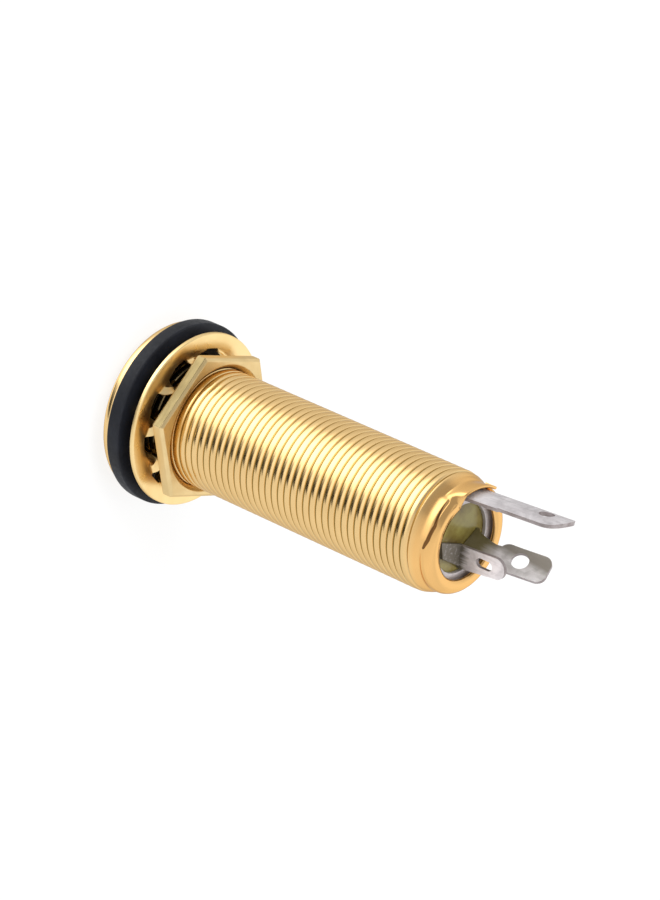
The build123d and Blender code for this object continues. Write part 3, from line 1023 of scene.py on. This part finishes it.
# Floor, lamps and world
def floor_material():
    mat, nodes, links, shader = material("floor_pale")
    shader.inputs["Base Color"].default_value = (0.9, 0.9, 0.9, 1)
    shader.inputs["Roughness"].default_value = 0.9
    shader.inputs["Specular IOR Level"].default_value = 0.1
    glow = nodes.new("ShaderNodeEmission")
    glow.inputs["Strength"].default_value = 1.0
    path = nodes.new("ShaderNodeLightPath")
    share = math_node(nodes, links, "MULTIPLY", path.outputs["Is Camera Ray"], 0.8)
    mix = nodes.new("ShaderNodeMixShader")
    links.new(share, mix.inputs["Fac"])
    links.new(shader.outputs["BSDF"], mix.inputs[1])
    links.new(glow.outputs["Emission"], mix.inputs[2])
    links.new(mix.outputs["Shader"], nodes["Material Output"].inputs["Surface"])
    return mat


FLOOR_HALF = 3.0
mesh = bpy.data.meshes.new("floor")
floor_corners = [(x * FLOOR_HALF, y * FLOOR_HALF, 0) for x, y in ((-1, -1), (1, -1), (1, 1), (-1, 1))]
mesh.from_pydata(floor_corners, [], [(0, 1, 2, 3)])
floor = bpy.data.objects.new("floor", mesh)
bpy.context.scene.collection.objects.link(floor)
mesh.materials.append(floor_material())
floor.visible_glossy = False


def area_lamp(name, azimuth, elevation, distance, size, power):
    data = bpy.data.lights.new(name, "AREA")
    data.shape = "SQUARE"
    data.size = size
    data.energy = power
    lamp = bpy.data.objects.new(name, data)
    a, e = radians(azimuth), radians(elevation)
    lamp.location = Vector((cos(a) * cos(e), sin(a) * cos(e), sin(e))) * distance
    lamp.rotation_mode = "QUATERNION"
    lamp.rotation_quaternion = (-lamp.location).to_track_quat("-Z", "Y")
    bpy.context.scene.collection.objects.link(lamp)
    lamp.visible_glossy = False


area_lamp("key_lamp", -75, 50, 0.6, 0.35, 2.2)
area_lamp("fill_lamp", 40, 30, 0.7, 0.5, 1.2)
area_lamp("top_lamp", 150, 75, 0.7, 0.5, 1.2)


def make_world():
    world = bpy.data.worlds.new("studio")
    bpy.context.scene.world = world
    world.use_nodes = True
    nodes = world.node_tree.nodes
    links = world.node_tree.links
    background = nodes["Background"]
    coords = nodes.new("ShaderNodeTexCoord")
    x, y, z = separate(nodes, links, coords.outputs["Generated"])
    azimuth = math_node(nodes, links, "ARCTAN2", y, x)
    share = map_range(nodes, links, azimuth, -pi, pi, 0.0, 1.0)

    def at(azimuth):
        return (azimuth + 180) / 360

    # Brightness by azimuth for four zones of height; low and middle differ beside the bright side
    sides = [
        (-180, 0.68), (-150, 0.78), (-127, 0.88), (-112, 1.0), (-103, 1.15), (-92, 1.95), (-79, 2.6),
        (-67, 2.85), (-43, 2.8), (-31, 2.0),
    ]
    far_sides = [(26, 1.0), (60, 1.02), (100, 0.92), (125, 0.74), (160, 0.62), (180, 0.66)]
    steep = [(-180, 2.0), (-110, 2.0), (-92, 0.9), (-40, 0.9), (-24, 0.3), (12, 0.3), (30, 0.8), (180, 2.0)]
    low = sides + [(-20, 0.8), (-8, 0.25), (3, 0.05), (15, 0.03), (21, 0.3)] + far_sides
    middle = sides + [(-17, 1.5), (0, 1.25), (12, 1.1), (20, 0.98)] + far_sides
    high = [
        (-180, 1.15), (-120, 0.85), (-100, 0.5), (-40, 0.5), (-24, 0.8), (12, 1.0), (60, 1.1), (120, 1.0),
        (150, 1.2), (180, 1.2),
    ]

    def around(bands):
        return ramp(nodes, links, share, [(at(angle), grey(value)) for angle, value in bands])

    def step(below, above, z0, z1):
        level = map_range(nodes, links, z, z0, z1, 0.0, 1.0)
        return mix_color(nodes, links, level, below, above)

    light = step(around(steep), around(low), -0.96, -0.9)
    light = step(light, around(middle), -0.63, -0.57)
    light = step(light, around(high), -0.36, -0.1)
    path = nodes.new("ShaderNodeLightPath")
    pick = nodes.new("ShaderNodeMix")
    pick.data_type = "RGBA"
    links.new(path.outputs["Is Glossy Ray"], pick.inputs["Factor"])
    pick.inputs["A"].default_value = (0.75, 0.75, 0.75, 1)
    links.new(light, pick.inputs["B"])
    see = nodes.new("ShaderNodeMix")
    see.data_type = "RGBA"
    links.new(path.outputs["Is Camera Ray"], see.inputs["Factor"])
    links.new(pick.outputs["Result"], see.inputs["A"])
    see.inputs["B"].default_value = (1, 1, 1, 1)
    links.new(see.outputs["Result"], background.inputs["Color"])


make_world()


# Camera at the photograph's viewpoint. It was fitted from a point on the part's axis: POINT_PX is its
# place in the photograph, and POINT_HEIGHT how far up from the flange's face it is.
PHOTO_SIZE = (660, 900)
SENSOR = 36
FOCAL_PX = 3730.0
POINT_PX = (239, 438.4)
POINT_HEIGHT = 10.72
SCALE = 0.992
Z_DISTANCE = 359.3
axis_a = np.array((-0.532, -0.245, -0.811))
axis_b = np.array((-0.409, 0.912, -0.007))
axis_u = np.array((0.742, 0.328, -0.585))
width, height = PHOTO_SIZE
across = (POINT_PX[0] - width / 2) / FOCAL_PX * Z_DISTANCE
down = (POINT_PX[1] - height / 2) / FOCAL_PX * Z_DISTANCE
point = np.array((across, down, Z_DISTANCE))
angle = radians(CAMERA_TURN)
x_dir = cos(angle) * axis_a + sin(angle) * axis_b
y_dir = -sin(angle) * axis_a + cos(angle) * axis_b
turn = np.stack([x_dir, y_dir, axis_u], 1)
u_vectors, _, v_vectors = np.linalg.svd(turn)
turn = u_vectors @ v_vectors
place = -turn.T @ (SCALE * (point - turn[:, 2] * POINT_HEIGHT)) * MM
right = turn.T @ np.array((1, 0, 0))
up = -turn.T @ np.array((0, 1, 0))
back = -turn.T @ np.array((0, 0, 1))
camera_data = bpy.data.cameras.new("camera")
camera_data.lens = SENSOR * FOCAL_PX / height
camera_data.clip_start = 0.01
camera_data.clip_end = 10
camera = bpy.data.objects.new("camera", camera_data)
camera.matrix_world = Matrix([
    (right[0], up[0], back[0], place[0]),
    (right[1], up[1], back[1], place[1]),
    (right[2], up[2], back[2], place[2]),
    (0, 0, 0, 1),
])
bpy.context.scene.collection.objects.link(camera)
bpy.context.scene.camera = camera
bpy.context.scene.view_settings.view_transform = "Standard"
